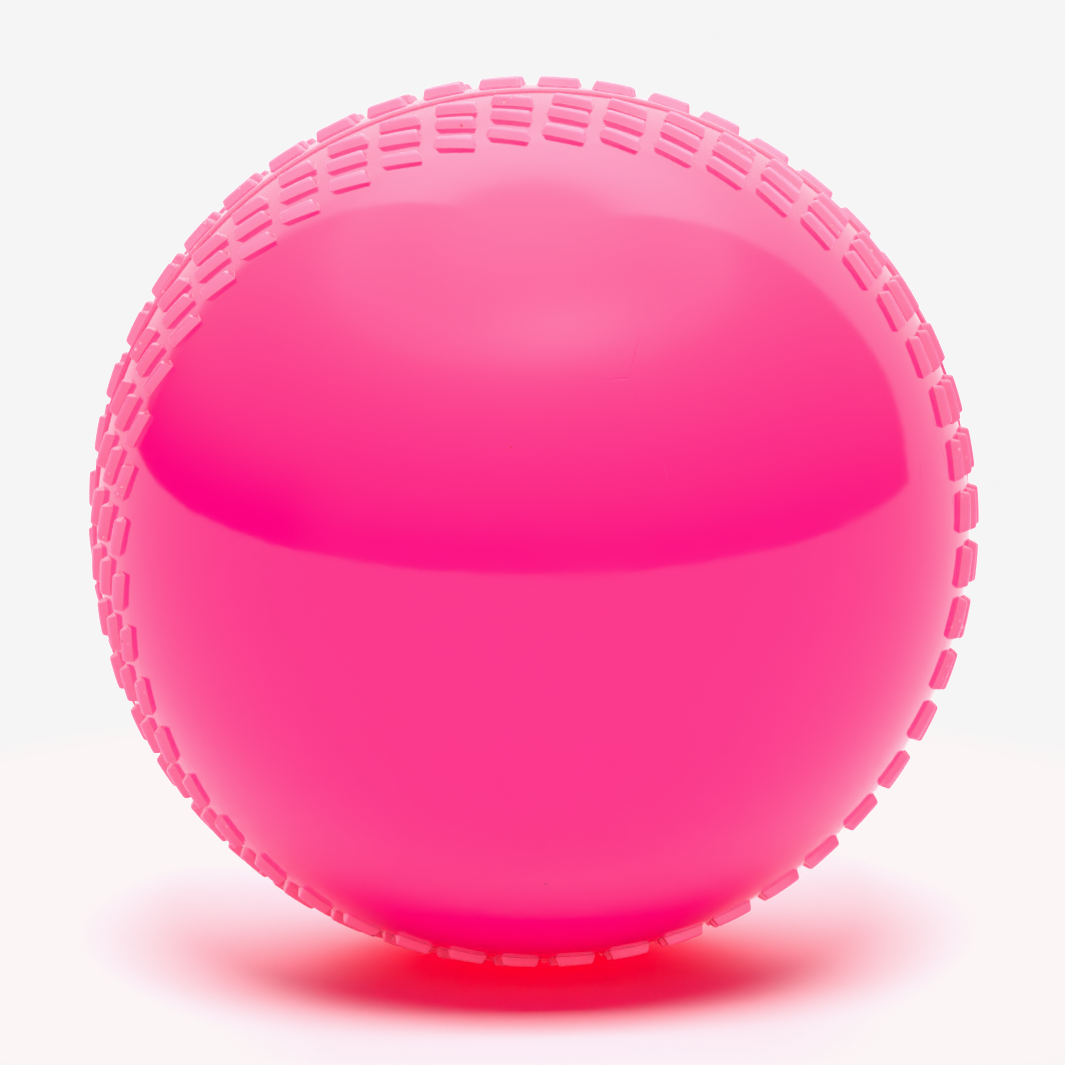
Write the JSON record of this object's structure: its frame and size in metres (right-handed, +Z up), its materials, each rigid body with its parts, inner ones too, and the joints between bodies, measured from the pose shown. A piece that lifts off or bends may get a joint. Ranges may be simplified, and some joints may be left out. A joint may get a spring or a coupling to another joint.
{
  "type": "cricket ball",
  "caption": "Hollow moulded plastic practice cricket ball: two half shells with raised stitch rows, keyed by an inner band, with a weld bead and a vent plug.",
  "frame": {"origin": "centre of the ball, which is the centre of its bounding box", "axes": "+Y is the pole axis of the two halves, from the front half to the rear half with the vent plug; the seam lies in the XZ plane; +Z is up"},
  "size_m": [0.0726, 0.0714, 0.0726],
  "materials": {
    "half_shell_pvc": "glossy, slightly translucent hot pink soft PVC",
    "joint_band_pvc": "unpigmented PVC, as moulded",
    "seam_bead_pvc": "remelted pink PVC, satin",
    "vent_plug_pvc": "pink soft PVC, satin"
  },
  "bodies": {
    "root": {"front_half_shell": "half_shell_pvc", "rear_half_shell": "half_shell_pvc", "inner_joint_band": "joint_band_pvc", "seam_bead": "seam_bead_pvc", "vent_plug": "vent_plug_pvc"}
  },
  "joints": []
}
